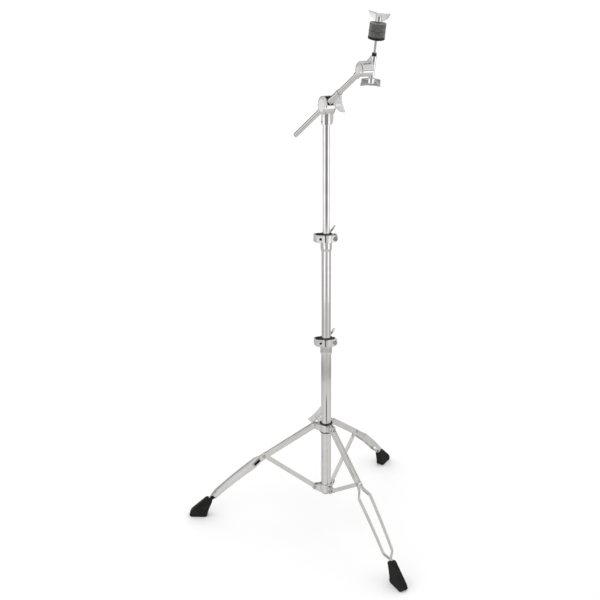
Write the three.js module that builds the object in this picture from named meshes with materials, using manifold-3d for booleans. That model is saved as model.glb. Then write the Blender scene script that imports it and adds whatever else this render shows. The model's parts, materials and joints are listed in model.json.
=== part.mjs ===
// Cymbal boom stand: a folding tripod with double legs, a three-section telescopic mast with two
// split clamps, a drum-shaped boom tilter, a sliding boom arm and a cymbal tilter with felts.
// Millimetres, +Z up. The mast is built on the Z axis and the whole stand is then moved so that the
// origin is the middle of its bounding box, on the floor.
import * as THREE from 'three';
import { mergeVertices } from 'three/addons/utils/BufferGeometryUtils.js';
import Module from 'manifold-3d';

const wasm = await Module();
wasm.setup();

const DEG = Math.PI / 180;
const GAP = 0.3; // clearance between neighbouring pieces
const ROUND = 24; // facets round a tube
const SMALL_ROUND = 12; // facets round a pin, screw or hole

// Mast tubes: outer radii, walls, and the heights of their ends.
const BASE_R = 14.3;
const MID_R = 12.7;
const TOP_R = 9.55;
const WALL = 1.2;
const BASE_ENDS = [84, 544.5];
const MID_ENDS = [335, 839];
const TOP_ENDS = [648, 1167];

// Tripod: three legs, each a parallelogram half of equal arms, so that the collar slides straight.
const LEG_AZIMUTHS = [180, 300, 60];
const PIVOT_RADIUS = 33; // leg and brace pivots from the mast axis
const FOLD_ARM = 177; // collar pivot to knee, and knee to bottom pivot
const SPREAD = 55.7; // angle of both arms from the vertical, degrees
const BOTTOM_PIVOT_Z = 101;
const COLLAR_BOLT_Z = 291; // the wing bolt's axis on the mast axis
const COLLAR_BOLT_RISE = 20; // the bolt from the horizontal, degrees
const KNEE = new THREE.Vector2(
  PIVOT_RADIUS + FOLD_ARM * Math.sin(SPREAD * DEG),
  BOTTOM_PIVOT_Z + FOLD_ARM * Math.cos(SPREAD * DEG),
);
const COLLAR_PIVOT_Z = BOTTOM_PIVOT_Z + 2 * FOLD_ARM * Math.cos(SPREAD * DEG);
const PIVOT_PIN_R = 3;
const PIVOT_HOLE_R = PIVOT_PIN_R + GAP;

// Leg strips, in the leg's own plane: distance from the mast, then height.
const STRIP = 2; // steel thickness
const KNEE_DROP = 2; // the strip's centreline passes this far below the knee pivot
const LEG_SHOULDER = new THREE.Vector2(285.2, 117.5); // control point of the arched blade
const LEG_ANKLE = new THREE.Vector2(341, 56);
const LEG_TOE = new THREE.Vector2(350.6, 45.4);
const PAIR_OFFSET = 5.2; // each strip from the leg plane, above the knee
const LOOP_OFFSET = 18; // the same, where the blades stand widest apart
const LOOP_END_OFFSET = 14;
const TOE_OFFSET = 1.5;

// Clamps on the mast: the block's height, and each clamp's own heights.
const BLOCK_HEIGHT = 21;
const LOWER_BLOCK_Z = 545.5;
const UPPER_BLOCK_Z = 841;
const SIDE_BOLT_X = 24;
const CLAMP_WING_AZIMUTH = 82; // the wing bolt's axis, degrees
const CLAMP_WING_TURN = 38; // the wings about that axis
const KEY_SCREW_X = -14.5;

// Boom tilter and arm. Its local X axis is the drum's, and the arm points along local -Y and up.
const DRUM_Z = 1197.4;
const BOOM_TURN = 27; // azimuth of the drum's axis, degrees
const BOOM_TILT = 28; // arm above the horizontal, degrees
const TILT_DOWN = 27; // lowest and highest tilt that the drum's slots let through
const TILT_UP = 60;
const DRUM_R = 23.5;
const DRUM_BORE = 19.4;
const DRUM_ENDS = [-14.5, 13]; // closed end and cover end, along the drum's axis
const ARM_R = 6.35;
const ARM_BACK = -208;
const ARM_FRONT = 199;
const SLEEVE_R = 7.9;
const SLEEVE_END = 80;

// Cymbal tilter, at the arm's front end. Its own Z axis is the rod's.
const HUB_ALONG_ARM = 209;
const ROD_OFFSET = 25.8; // rod from the arm's axis, along the hub
const ROD_LEAN = 12.4; // rod from the vertical, towards the arm's direction, degrees
const CYMBAL_BACK = -14; // lowest and highest turn of the rod about the hub, degrees
const CYMBAL_FRONT = 12;
const CORE_R = 9.5;
const ROD_R = 2.75;
const FELT_R = 19.5;
const FELT_BOTTOM = 72.5;
const FELT_HEIGHT = 16.8;
const CUP_RIM = 76; // top of the cup's rim, which holds the lower felt
const CUP_BORE = 18.4;

const finish = (color, roughness, metalness) =>
  new THREE.MeshStandardMaterial({ color, roughness, metalness, flatShading: true });
const CHROME = finish(0xd9dadc, 0.12, 1);
const DULL_STEEL = finish(0x9b9b98, 0.35, 1);
const RUBBER = finish(0x101010, 0.8, 0);
const NYLON = finish(0x161616, 0.45, 0);
const FELT = finish(0x4b4b47, 1, 0);
const BLACK_STEEL = finish(0x1c1c1d, 0.4, 1);

// ---- shapes -----------------------------------------------------------------------------------

// Six times the signed volume under a list of triangles.
function signedVolume(position, triangles) {
  const [a, b, c] = [new THREE.Vector3(), new THREE.Vector3(), new THREE.Vector3()];
  let total = 0;
  for (let i = 0; i < triangles.length; i += 3) {
    a.fromBufferAttribute(position, triangles[i]);
    b.fromBufferAttribute(position, triangles[i + 1]);
    c.fromBufferAttribute(position, triangles[i + 2]);
    total += a.dot(b.cross(c));
  }
  return total;
}

// A closed three.js geometry as a manifold solid, with its faces turned outwards.
function solid(geometry) {
  const bare = geometry.clone();
  bare.deleteAttribute('normal');
  bare.deleteAttribute('uv');
  const merged = mergeVertices(bare, 1e-3);
  const corners = merged.index.array;
  const triangles = [];
  for (let i = 0; i < corners.length; i += 3) {
    const [a, b, c] = [corners[i], corners[i + 1], corners[i + 2]];
    if (a !== b && b !== c && c !== a) triangles.push(a, b, c);
  }
  const position = merged.attributes.position;
  if (signedVolume(position, triangles) < 0) triangles.reverse();
  return new wasm.Manifold(new wasm.Mesh({
    numProp: 3,
    vertProperties: new Float32Array(position.array),
    triVerts: new Uint32Array(triangles),
  }));
}

// A manifold solid as a three.js geometry.
function geometryOf(body) {
  const mesh = body.getMesh();
  const geometry = new THREE.BufferGeometry();
  geometry.setAttribute('position', new THREE.BufferAttribute(new Float32Array(mesh.vertProperties), 3));
  geometry.setIndex(new THREE.BufferAttribute(new Uint32Array(mesh.triVerts), 1));
  return geometry;
}

// Joins the first list of geometries and cuts the second from it.
function carve(joined, cut = []) {
  let body = solid(joined[0]);
  for (const piece of joined.slice(1)) body = body.add(solid(piece));
  for (const piece of cut) body = body.subtract(solid(piece));
  return geometryOf(body);
}

// A profile of [radius, height] points turned about Z.
function turn(profile, facets = ROUND) {
  const points = profile.map(([radius, height]) => new THREE.Vector2(radius, height));
  return new THREE.LatheGeometry(points, facets).rotateX(Math.PI / 2);
}

const round = (radius, low, high, facets = ROUND) =>
  turn([[0, low], [radius, low], [radius, high], [0, high]], facets);

const ring = (inner, outer, low, high, facets = ROUND) =>
  turn([[inner, low], [outer, low], [outer, high], [inner, high], [inner, low]], facets);

const block = (xs, ys, zs) =>
  new THREE.BoxGeometry(xs[1] - xs[0], ys[1] - ys[0], zs[1] - zs[0])
    .translate((xs[0] + xs[1]) / 2, (ys[0] + ys[1]) / 2, (zs[0] + zs[1]) / 2);

// An outline in XY pushed up along Z.
function prism(points, low, high) {
  const shape = new THREE.Shape(points.map(([x, y]) => new THREE.Vector2(x, y)));
  return new THREE.ExtrudeGeometry(shape, { depth: high - low, bevelEnabled: false, steps: 1 })
    .translate(0, 0, low);
}

// An outline in the XZ plane pushed along Y, between -half and half.
const plate = (points, half) => prism(points, -half, half).rotateX(Math.PI / 2);

// A Z-axis shape laid along X, or along Y.
const alongX = (geometry) => geometry.rotateY(Math.PI / 2);
const alongY = (geometry) => geometry.rotateX(-Math.PI / 2);

// Points of an arc about a centre, from one angle to another in degrees.
function arc([x, y], radius, from, to, steps = 6) {
  const points = [];
  for (let i = 0; i <= steps; i += 1) {
    const angle = (from + ((to - from) * i) / steps) * DEG;
    points.push([x + radius * Math.cos(angle), y + radius * Math.sin(angle)]);
  }
  return points;
}

const stand = new THREE.Group();

function add(parent, name, geometry, material) {
  const mesh = new THREE.Mesh(geometry, material);
  mesh.name = name;
  parent.add(mesh);
  return mesh;
}

// A pair of wings on a round hub that stands on z = 0. The tips reach from low to high, the waist
// between them is a little lower. Their lower corners are set in by inset. A bolt may go down from
// the hub, or a threaded hole of a given depth up into it.
function wingHead({ span, low, high, inset = 3, hub, hubHeight, thick = 4, bolt, boltR = 3, depth }) {
  const half = span / 2;
  const waist = high - 3.4;
  const outline = [
    [-hub * 0.7, 0.8], [hub * 0.7, 0.8], [half - inset, low], [half, high - 1.2], [half - 1.2, high],
    [half * 0.5, high - 2.4], [0, waist], [-half * 0.5, high - 2.4], [-half + 1.2, high],
    [-half, high - 1.2], [-half + inset, low],
  ];
  const joined = [round(hub, 0, hubHeight, SMALL_ROUND + 4), plate(outline, thick / 2)];
  if (bolt) joined.push(round(boltR, -bolt, 1, SMALL_ROUND));
  const cut = depth ? [round(ROD_R + GAP, -1, depth, SMALL_ROUND)] : [];
  return carve(joined, cut);
}

// A rivet through a clevis, with a head outside each ear, along Y.
function rivet(halfLength, headR = 4.8, head = 1.6) {
  const shank = halfLength - head;
  return alongY(turn([
    [0, -halfLength], [headR, -halfLength], [headR, -shank], [PIVOT_PIN_R, -shank],
    [PIVOT_PIN_R, shank], [headR, shank], [headR, halfLength], [0, halfLength],
  ], SMALL_ROUND));
}

const pivotHole = (x, z, radius = PIVOT_HOLE_R) =>
  alongY(round(radius, -30, 30, SMALL_ROUND)).translate(x, 0, z);

// ---- tripod -----------------------------------------------------------------------------------

// The strips' common centreline: straight from the collar to the knee, then an arch to the foot.
const legTop = new THREE.Vector2(PIVOT_RADIUS, COLLAR_PIVOT_Z);
const kneePass = new THREE.Vector2(KNEE.x, KNEE.y - KNEE_DROP);
const legStart = legTop.clone().addScaledVector(kneePass.clone().sub(legTop).normalize(), -8);
const legPath = new THREE.CurvePath();
legPath.add(new THREE.LineCurve(legStart, kneePass));
legPath.add(new THREE.QuadraticBezierCurve(kneePass, LEG_SHOULDER, LEG_ANKLE));
legPath.add(new THREE.LineCurve(LEG_ANKLE, LEG_TOE));
const LEG_LENGTH = legPath.getLength();
const KNEE_AT = legPath.getCurveLengths()[0];

// Straight-line steps through [distance, value] pairs.
function stepped(pairs, at) {
  let [from, value] = pairs[0];
  for (const [to, next] of pairs) {
    if (at <= to) return to === from ? next : value + ((next - value) * (at - from)) / (to - from);
    [from, value] = [to, next];
  }
  return value;
}

const stripOffset = (at) => stepped([
  [0, PAIR_OFFSET], [KNEE_AT + 14, PAIR_OFFSET], [KNEE_AT + 37, LOOP_OFFSET],
  [LEG_LENGTH - 36, LOOP_END_OFFSET], [LEG_LENGTH - 19, TOE_OFFSET], [LEG_LENGTH, TOE_OFFSET],
], at);

const stripHalfWidth = (at) => stepped([
  [0, 5], [3, 7.4], [8, 8], [KNEE_AT + 14, 8], [KNEE_AT + 37, 7.8], [LEG_LENGTH, 6.8],
], at);

// One bent steel strip: a long box whose stations follow the centreline.
function legStrip(side) {
  const stations = [0, 3, 8, KNEE_AT - 4, KNEE_AT + 14, KNEE_AT + 21, KNEE_AT + 30, KNEE_AT + 37];
  const arched = 9;
  for (let i = 1; i <= arched; i += 1) {
    stations.push(KNEE_AT + 37 + ((LEG_LENGTH - 36 - KNEE_AT - 37) * i) / arched);
  }
  stations.push(LEG_LENGTH - 30, LEG_LENGTH - 24, LEG_LENGTH - 19, LEG_LENGTH);
  const strip = new THREE.BoxGeometry(1, STRIP, 1, stations.length - 1, 1, 1);
  const position = strip.attributes.position;
  for (let i = 0; i < position.count; i += 1) {
    const at = stations[Math.round((position.getX(i) + 0.5) * (stations.length - 1))];
    const along = Math.min(at / LEG_LENGTH, 1);
    const centre = legPath.getPointAt(along);
    const heading = legPath.getTangentAt(along);
    const across = position.getZ(i) * 2 * stripHalfWidth(at);
    position.setXYZ(
      i,
      centre.x - heading.y * across,
      side * stripOffset(at) + position.getY(i),
      centre.y + heading.x * across,
    );
  }
  return carve([strip], [pivotHole(PIVOT_RADIUS, COLLAR_PIVOT_Z), pivotHole(KNEE.x, KNEE.y)]);
}

// The rubber foot: its side outline pushed out sideways, narrowing towards the top, with a slot
// for the ends of the two strips.
function foot() {
  const outline = [
    [335.5, 50], [337.5, 54], [351.5, 61], [356.5, 59], [400, 18.5], [405, 9.5], [404, 3], [399.5, 0],
    [357.5, 0], [352, 3.5], [349.5, 17],
  ];
  const half = 12;
  const body = plate(outline, half);
  const position = body.attributes.position;
  for (let i = 0; i < position.count; i += 1) {
    const share = Math.min(1, Math.max(0, position.getZ(i) / 62));
    position.setY(i, position.getY(i) * (1 - 0.42 * share));
  }
  const heading = LEG_TOE.clone().sub(LEG_ANKLE).normalize();
  const slot = block([-14, 15], [-TOE_OFFSET - STRIP / 2 - 0.6, TOE_OFFSET + STRIP / 2 + 0.6], [-7.3, 7.3])
    .rotateY(-heading.angle())
    .translate(LEG_ANKLE.x, 0, LEG_ANKLE.y);
  return carve([body], [slot]);
}

// The brace from the bottom collar to the knee, a bar with round ends.
function brace() {
  const halfHeight = 5.6;
  const outline = [
    ...arc([FOLD_ARM, 0], halfHeight, -90, 90, 8),
    ...arc([0, 0], halfHeight, 90, 270, 8),
  ];
  const holes = [pivotHole(0, 0), pivotHole(FOLD_ARM, 0)];
  return carve([plate(outline, 3.7)], holes)
    .rotateY(-(90 - SPREAD) * DEG)
    .translate(PIVOT_RADIUS, 0, BOTTOM_PIVOT_Z);
}

// The two ears of a clevis at a pivot, standing out from a collar between two heights.
function ears(pivotZ, low, high, inner, outer) {
  const tip = arc([PIVOT_RADIUS, pivotZ], 7.6, -70, 75, 6);
  const outline = [[BASE_R + 2, low], ...tip, [BASE_R + 2, high]];
  const thickness = (outer - inner) / 2;
  const middle = (outer + inner) / 2;
  return [middle, -middle].map((y) => plate(outline, thickness).translate(0, y, 0));
}

// A collar on the base tube with a clevis for each leg or brace.
function collar({ low, high, pivotZ, inner, outer, bodyR, bore, extra = [], cut = [] }) {
  const joined = [round(bodyR, low, high)];
  const holes = [round(bore, low - 5, high + 5), ...cut];
  for (const azimuth of LEG_AZIMUTHS) {
    for (const ear of ears(pivotZ, low + 1, high - 1, inner, outer)) {
      joined.push(ear.rotateZ(azimuth * DEG));
    }
    holes.push(pivotHole(PIVOT_RADIUS, pivotZ).rotateZ(azimuth * DEG));
  }
  return carve([...joined, ...extra], holes);
}

function leg(azimuth, index) {
  const group = new THREE.Group();
  group.rotation.z = azimuth * DEG;
  stand.add(group);
  const label = `leg_${index + 1}`;
  add(group, `${label}_strip_left`, legStrip(-1), CHROME);
  add(group, `${label}_strip_right`, legStrip(1), CHROME);
  add(group, `${label}_foot`, foot(), RUBBER);
  add(group, `${label}_brace`, brace(), CHROME);
  add(group, `${label}_collar_rivet`, rivet(11.6).translate(PIVOT_RADIUS, 0, COLLAR_PIVOT_Z), CHROME);
  add(group, `${label}_knee_rivet`, rivet(8.2).translate(KNEE.x, 0, KNEE.y), DULL_STEEL);
  add(group, `${label}_brace_rivet`, rivet(9.2).translate(PIVOT_RADIUS, 0, BOTTOM_PIVOT_Z), DULL_STEEL);
}

function legCollar() {
  const low = 283;
  const high = 305.5;
  const boltTurn = 124 * DEG;
  const alongBolt = (geometry) => alongX(geometry)
    .rotateY(-COLLAR_BOLT_RISE * DEG).translate(0, 0, COLLAR_BOLT_Z).rotateZ(boltTurn);
  const boss = alongBolt(round(6.6, BASE_R + 2, 41, SMALL_ROUND + 4));
  const bossHole = alongBolt(round(3.4, 8, 44, SMALL_ROUND));
  const seats = [high - 9, low - 5].map((z) => round(BASE_R + 2.2, z, z + 14));
  add(stand, 'leg_collar', collar({
    low,
    high,
    pivotZ: COLLAR_PIVOT_Z,
    inner: 6.6,
    outer: 9.6,
    bodyR: 18.6,
    bore: BASE_R + GAP,
    extra: [boss],
    cut: [bossHole, ...seats],
  }), CHROME);
  const bushing = (name, flangeLow, flangeHigh, sleeveLow, sleeveHigh) => {
    const flange = ring(BASE_R + GAP, 18.4, flangeLow, flangeHigh);
    const sleeve = ring(BASE_R + GAP, BASE_R + 1.9, sleeveLow, sleeveHigh);
    add(stand, name, carve([flange, sleeve]), NYLON);
  };
  bushing('leg_collar_bushing_top', high + GAP, high + 3, high - 8, high + 3);
  bushing('leg_collar_bushing_bottom', low - 2.6, low - GAP, low - 2.6, low + 8);
  const bolt = wingHead({ span: 54, low: 4, high: 23, hub: 5.8, hubHeight: 12, thick: 4.6, bolt: 23 });
  add(stand, 'leg_collar_wing_bolt', alongBolt(bolt.rotateZ(43 * DEG).translate(0, 0, 42)), CHROME);
}

function bottomCollar() {
  add(stand, 'bottom_collar', collar({
    low: 85,
    high: 112,
    pivotZ: BOTTOM_PIVOT_Z,
    inner: 4.2,
    outer: 7.2,
    bodyR: 18,
    bore: BASE_R + GAP,
  }), CHROME);
  const plug = [
    [0, 80], [12.5, 80], [14.6, 82.2], [14.6, BASE_ENDS[0] - GAP], [12.6, BASE_ENDS[0] - GAP],
    [12.6, BASE_ENDS[0] + 10], [0, BASE_ENDS[0] + 10],
  ];
  add(stand, 'base_end_plug', turn(plug), NYLON);
}

// ---- mast -------------------------------------------------------------------------------------

function mastTubes() {
  const tubes = [
    ['base_tube', BASE_R, BASE_ENDS], ['middle_tube', MID_R, MID_ENDS], ['top_tube', TOP_R, TOP_ENDS],
  ];
  for (const [name, radius, [low, high]] of tubes) {
    add(stand, name, ring(radius - WALL, radius, low, high), CHROME);
  }
}

// A split clamp: a casting with a sleeve on the lower tube, a slit at the front, a cross bolt through
// the right lobe, a key screw in the left block, and a wing bolt behind that presses on the bushing.
function clamp({ label, blockZ, sleeveLow, lowerR, upperR }) {
  const top = blockZ + BLOCK_HEIGHT;
  const middle = blockZ + BLOCK_HEIGHT / 2;
  const sleeve = turn([
    [0, sleeveLow], [lowerR + 1.2, sleeveLow], [lowerR + 2.4, sleeveLow + 7], [lowerR + 2.8, blockZ + 1],
    [0, blockZ + 1],
  ]);
  const leftBlock = prism([[0, -19.2], [-25.5, -15.2], [-34.5, 3], [-24, 12], [0, 14]], blockZ, top);
  const rightBlock = prism([[0, -19.2], [17, -14], [24, -11.4], [24, 9], [12, 12], [0, 14]], blockZ, top);
  const facets = SMALL_ROUND + 4;
  const lobe = alongY(round(BLOCK_HEIGHT / 2 - 0.6, -11.4, 9, facets)).translate(SIDE_BOLT_X - 3, 0, middle);
  const boltHole = alongY(round(3.4, -14, 6, SMALL_ROUND)).translate(SIDE_BOLT_X, 0, middle);
  const headBore = alongY(round(5.4, -14, -8, facets)).translate(SIDE_BOLT_X, 0, middle);
  const screwBore = alongY(round(3.3, -20, -11.5, SMALL_ROUND)).translate(KEY_SCREW_X, 0, middle);
  const slit = block([-3.2, -0.8], [-25, -upperR], [blockZ - 5, top + 1]);
  const alongWing = (geometry) => alongX(geometry).rotateZ(CLAMP_WING_AZIMUTH * DEG).translate(0, 0, middle);
  const housing = carve([
    sleeve, round(19.4, blockZ, top), leftBlock, rightBlock, lobe, alongWing(round(7, 12, 25, facets)),
  ], [
    round(lowerR + GAP, sleeveLow - 1, blockZ),
    round(upperR + 2.6, blockZ - 1, top + 1),
    headBore, boltHole, screwBore, slit, alongWing(round(3.4, 8, 30, SMALL_ROUND)),
  ]);
  add(stand, `${label}_clamp_housing`, housing, CHROME);

  const bushing = carve([
    ring(upperR + GAP, upperR + 2.3, blockZ + GAP, top + 2),
    ring(upperR + GAP, upperR + 5, top + GAP, top + 2),
  ]);
  add(stand, `${label}_clamp_bushing`, bushing, NYLON);

  const sideBolt = round(4.9, -12.6, -8.4, facets);
  const sideShank = round(3, -9, 5.6, SMALL_ROUND);
  const side = alongY(carve([sideBolt, sideShank])).translate(SIDE_BOLT_X, 0, middle);
  add(stand, `${label}_clamp_side_bolt`, side, DULL_STEEL);

  const keyway = block([-1.5, 1.5], [-1.5, 1.5], [-17, -13.4]);
  const screw = carve([round(2.9, -14.8, -11.9, SMALL_ROUND)], [keyway]);
  add(stand, `${label}_clamp_key_screw`, alongY(screw).translate(KEY_SCREW_X, 0, middle), BLACK_STEEL);

  const reach = 26 - upperR - 2.6; // from the wing's seat in to the bushing
  const wing = wingHead({ span: 56, low: 4, high: 24, hub: 6, hubHeight: 12, thick: 4.6, bolt: reach });
  const turned = wing.rotateZ(CLAMP_WING_TURN * DEG).translate(0, 0, 26);
  add(stand, `${label}_clamp_wing_bolt`, alongWing(turned), CHROME);
}

// ---- boom tilter and arm ----------------------------------------------------------------------

// A slot through the drum's wall for a round part of a given radius, swept over the tilt range.
function tiltSlot(radius, halfWidth, back) {
  const reach = 60;
  const ray = (degrees) => [Math.cos(degrees * DEG), Math.sin(degrees * DEG)];
  const [low, high] = [ray(TILT_DOWN), ray(TILT_UP)];
  const start = 4;
  const points = [
    [low[0] * start + low[1] * radius, low[1] * start - low[0] * radius],
    [low[0] * reach + low[1] * radius, low[1] * reach - low[0] * radius],
    [high[0] * reach - high[1] * radius, high[1] * reach + high[0] * radius],
    [high[0] * start - high[1] * radius, high[1] * start + high[0] * radius],
  ];
  const slot = prism(points, -halfWidth, halfWidth); // x forward, y up, z across
  slot.rotateX(Math.PI / 2).rotateZ(-Math.PI / 2); // forward becomes -Y
  return back ? slot.rotateX(Math.PI) : slot;
}

function drumHousing() {
  const shell = alongX(turn([
    [0, DRUM_ENDS[0]], [DRUM_R - 3, DRUM_ENDS[0]], [DRUM_R, DRUM_ENDS[0] + 3], [DRUM_R, DRUM_ENDS[1]],
    [0, DRUM_ENDS[1]],
  ]));
  const funnelTurned = turn([
    [0, -48], [14, -48], [16.6, -45], [18, -39], [19.4, -26], [20, -12], [0, -12],
  ]);
  const sides = [...arc([-0.6, 0], 13.2, 60.5, 299.5, 20), ...arc([14, 0], 6, -60.5, 60.5)];
  const funnel = geometryOf(solid(funnelTurned).intersect(solid(prism(sides, -50, -10))));
  return carve([shell, funnel], [
    alongX(round(DRUM_BORE, DRUM_ENDS[0] + 3, 20)),
    alongX(round(DRUM_R + GAP, DRUM_ENDS[1], 30)),
    round(TOP_R + GAP, -60, TOP_ENDS[1] - DRUM_Z + GAP),
    tiltSlot(SLEEVE_R + 0.6, SLEEVE_R + 0.6, false),
    tiltSlot(ARM_R + 0.7, ARM_R + 0.7, true),
    alongX(round(2.4, -20, 0, SMALL_ROUND)).translate(0, 0, -40),
  ]);
}

function boomTilter() {
  const group = new THREE.Group();
  group.rotation.z = BOOM_TURN * DEG;
  group.position.z = DRUM_Z;
  stand.add(group);
  add(group, 'tilter_housing', drumHousing(), CHROME);

  const coverFace = DRUM_ENDS[1] + GAP;
  const cover = carve([alongX(turn([
    [0, coverFace], [DRUM_R - 0.2, coverFace], [DRUM_R - 0.2, coverFace + 2.4],
    [20, coverFace + 4.4], [10, coverFace + 4.4], [9, coverFace + 8], [0, coverFace + 8],
  ]))], [alongX(round(4.3, 0, 40, SMALL_ROUND))]);
  add(group, 'tilter_cover', cover, CHROME);

  const driverSlot = block([-0.5, 0.5], [-3, 3], [-15, -12.6]);
  const grub = carve([round(2, -13.4, -TOP_R - GAP - 0.1, SMALL_ROUND)], [driverSlot]);
  add(group, 'tilter_grub_screw', alongX(grub).translate(0, 0, -40), BLACK_STEEL);

  const bolt = wingHead({ span: 44, low: 13, high: 27, hub: 7, hubHeight: 18, bolt: 13, boltR: 3.9 });
  const mesh = add(group, 'tilter_wing_bolt', alongX(bolt.rotateZ(-28 * DEG)), CHROME);
  mesh.position.x = coverFace + 8 + GAP;

  const arm = new THREE.Group(); // its Z axis points along the arm
  arm.rotation.x = (90 - BOOM_TILT) * DEG;
  group.add(arm);
  armParts(arm);
  cymbalTilter(group);
}

function armParts(arm) {
  const lockAt = 43;
  const lockHole = alongX(round(2.9, 0, 20, SMALL_ROUND)).translate(0, 0, lockAt);
  const boss = alongX(round(5.2, 0, 13.5, SMALL_ROUND)).translate(0, 0, lockAt);
  const barrel = carve([
    alongX(round(DRUM_BORE - GAP, DRUM_ENDS[0] + 3.4, DRUM_ENDS[1])),
    round(SLEEVE_R, 0, SLEEVE_END - 6),
    boss,
  ], [
    round(ARM_R + GAP, -40, 100),
    alongX(round(4.2, 8, 30, SMALL_ROUND)),
    lockHole,
  ]);
  add(arm, 'tilter_barrel', barrel, CHROME);
  const sleeveRing = ring(ARM_R + GAP, SLEEVE_R + 0.8, SLEEVE_END - 6 + GAP, SLEEVE_END + 2);
  add(arm, 'arm_sleeve_ring', sleeveRing, CHROME);
  const lock = carve([round(2.5, ARM_R + 0.4, 14, SMALL_ROUND), round(4, 13.8, 17, 4)]);
  add(arm, 'arm_lock_screw', alongX(lock).translate(0, 0, lockAt), DULL_STEEL);
  add(arm, 'boom_tube', ring(ARM_R - 1.1, ARM_R, ARM_BACK, ARM_FRONT), CHROME);
  const cap = turn([
    [0, ARM_BACK - 2.6], [4.6, ARM_BACK - 2.6], [ARM_R, ARM_BACK - 1.6], [ARM_R, ARM_BACK - GAP],
    [ARM_R - 1.5, ARM_BACK - GAP], [ARM_R - 1.5, ARM_BACK + 9], [0, ARM_BACK + 9],
  ], SMALL_ROUND + 8);
  add(arm, 'boom_end_cap', cap, NYLON);
}

// ---- cymbal tilter ----------------------------------------------------------------------------

// The saddle and jaw turn on the hub's core; this cuts the way for the arm through the jaws.
function armWay() {
  const radius = 8.9;
  const low = BOOM_TILT + CYMBAL_FRONT + 2; // below the horizontal, behind
  const high = BOOM_TILT + CYMBAL_BACK - 2;
  const ray = (degrees) => [Math.cos(degrees * DEG), -Math.sin(degrees * DEG)];
  const [a, b] = [ray(low), ray(high)];
  const points = [
    [0, 0], [a[1] * radius, -a[0] * radius], [a[0] * 40 + a[1] * radius, a[1] * 40 - a[0] * radius],
    [b[0] * 40 - b[1] * radius, b[1] * 40 + b[0] * radius], [-b[1] * radius, b[0] * radius],
  ];
  return prism(points, -9.6, 9.6).rotateX(Math.PI / 2).rotateZ(Math.PI / 2); // x becomes +Y
}

function cymbalTilter(group) {
  const tilt = BOOM_TILT * DEG;
  const place = new THREE.Group();
  place.position.set(0, -HUB_ALONG_ARM * Math.cos(tilt), HUB_ALONG_ARM * Math.sin(tilt));
  group.add(place);

  const socket = round(8.2, -34, 0, SMALL_ROUND + 8).rotateX((90 - BOOM_TILT) * DEG);
  const socketBore = round(ARM_R + GAP, -60, ARM_FRONT - HUB_ALONG_ARM + 0.5, SMALL_ROUND + 8)
    .rotateX((90 - BOOM_TILT) * DEG);
  const disc = alongX(turn([
    [0, -12.6], [13.5, -12.6], [16, -11], [16, -8.8], [0, -8.8],
  ]));
  const hub = carve([alongX(round(CORE_R, -11, 18.5)), disc, socket], [socketBore]);
  add(place, 'cymbal_hub', hub, CHROME);

  const lean = ROD_LEAN * DEG;
  const leaning = (geometry) => geometry.rotateX(lean).translate(ROD_OFFSET, 0, 0);
  const shell = (radius) => alongX(turn([
    [CORE_R + GAP, -8.4], [radius - 1.2, -8.4], [radius, -7.2], [radius, 20], [CORE_R + GAP, 20],
    [CORE_R + GAP, -8.4],
  ]));
  const upperHalf = block([-30, 60], [-40, 40], [1.1, 60]);
  const lowerHalf = block([-30, 60], [-40, 40], [-60, -1.1]);
  const rodWay = leaning(round(ROD_R + GAP, -60, 60, SMALL_ROUND));
  const column = leaning(round(6.6, -2, 32, SMALL_ROUND + 4));
  const web = prism([[8, 10], [22, 10], [23, 30], [17, 24], [10, 18.5]], -4, 4).rotateX(Math.PI / 2);
  const foot = leaning(round(6.6, -18.6, 2, SMALL_ROUND + 4));
  const bridge = block([18, 25], [-5, 5], [-12, 12]);
  const coreWay = alongX(round(CORE_R + GAP, -20, 19.2));
  const half = (pieces, keep) => {
    let body = solid(pieces[0]);
    for (const piece of pieces.slice(1)) body = body.add(solid(piece));
    body = body.intersect(solid(keep)).subtract(solid(armWay()));
    return geometryOf(body.subtract(solid(rodWay)).subtract(solid(coreWay)));
  };
  add(place, 'cymbal_saddle', half([shell(20), column, web, bridge], upperHalf), CHROME);
  add(place, 'cymbal_jaw', half([shell(15.6), foot, bridge], lowerHalf), CHROME);

  const rodGroup = new THREE.Group();
  rodGroup.position.x = ROD_OFFSET;
  rodGroup.rotation.x = lean;
  place.add(rodGroup);
  rodParts(rodGroup);
}

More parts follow.
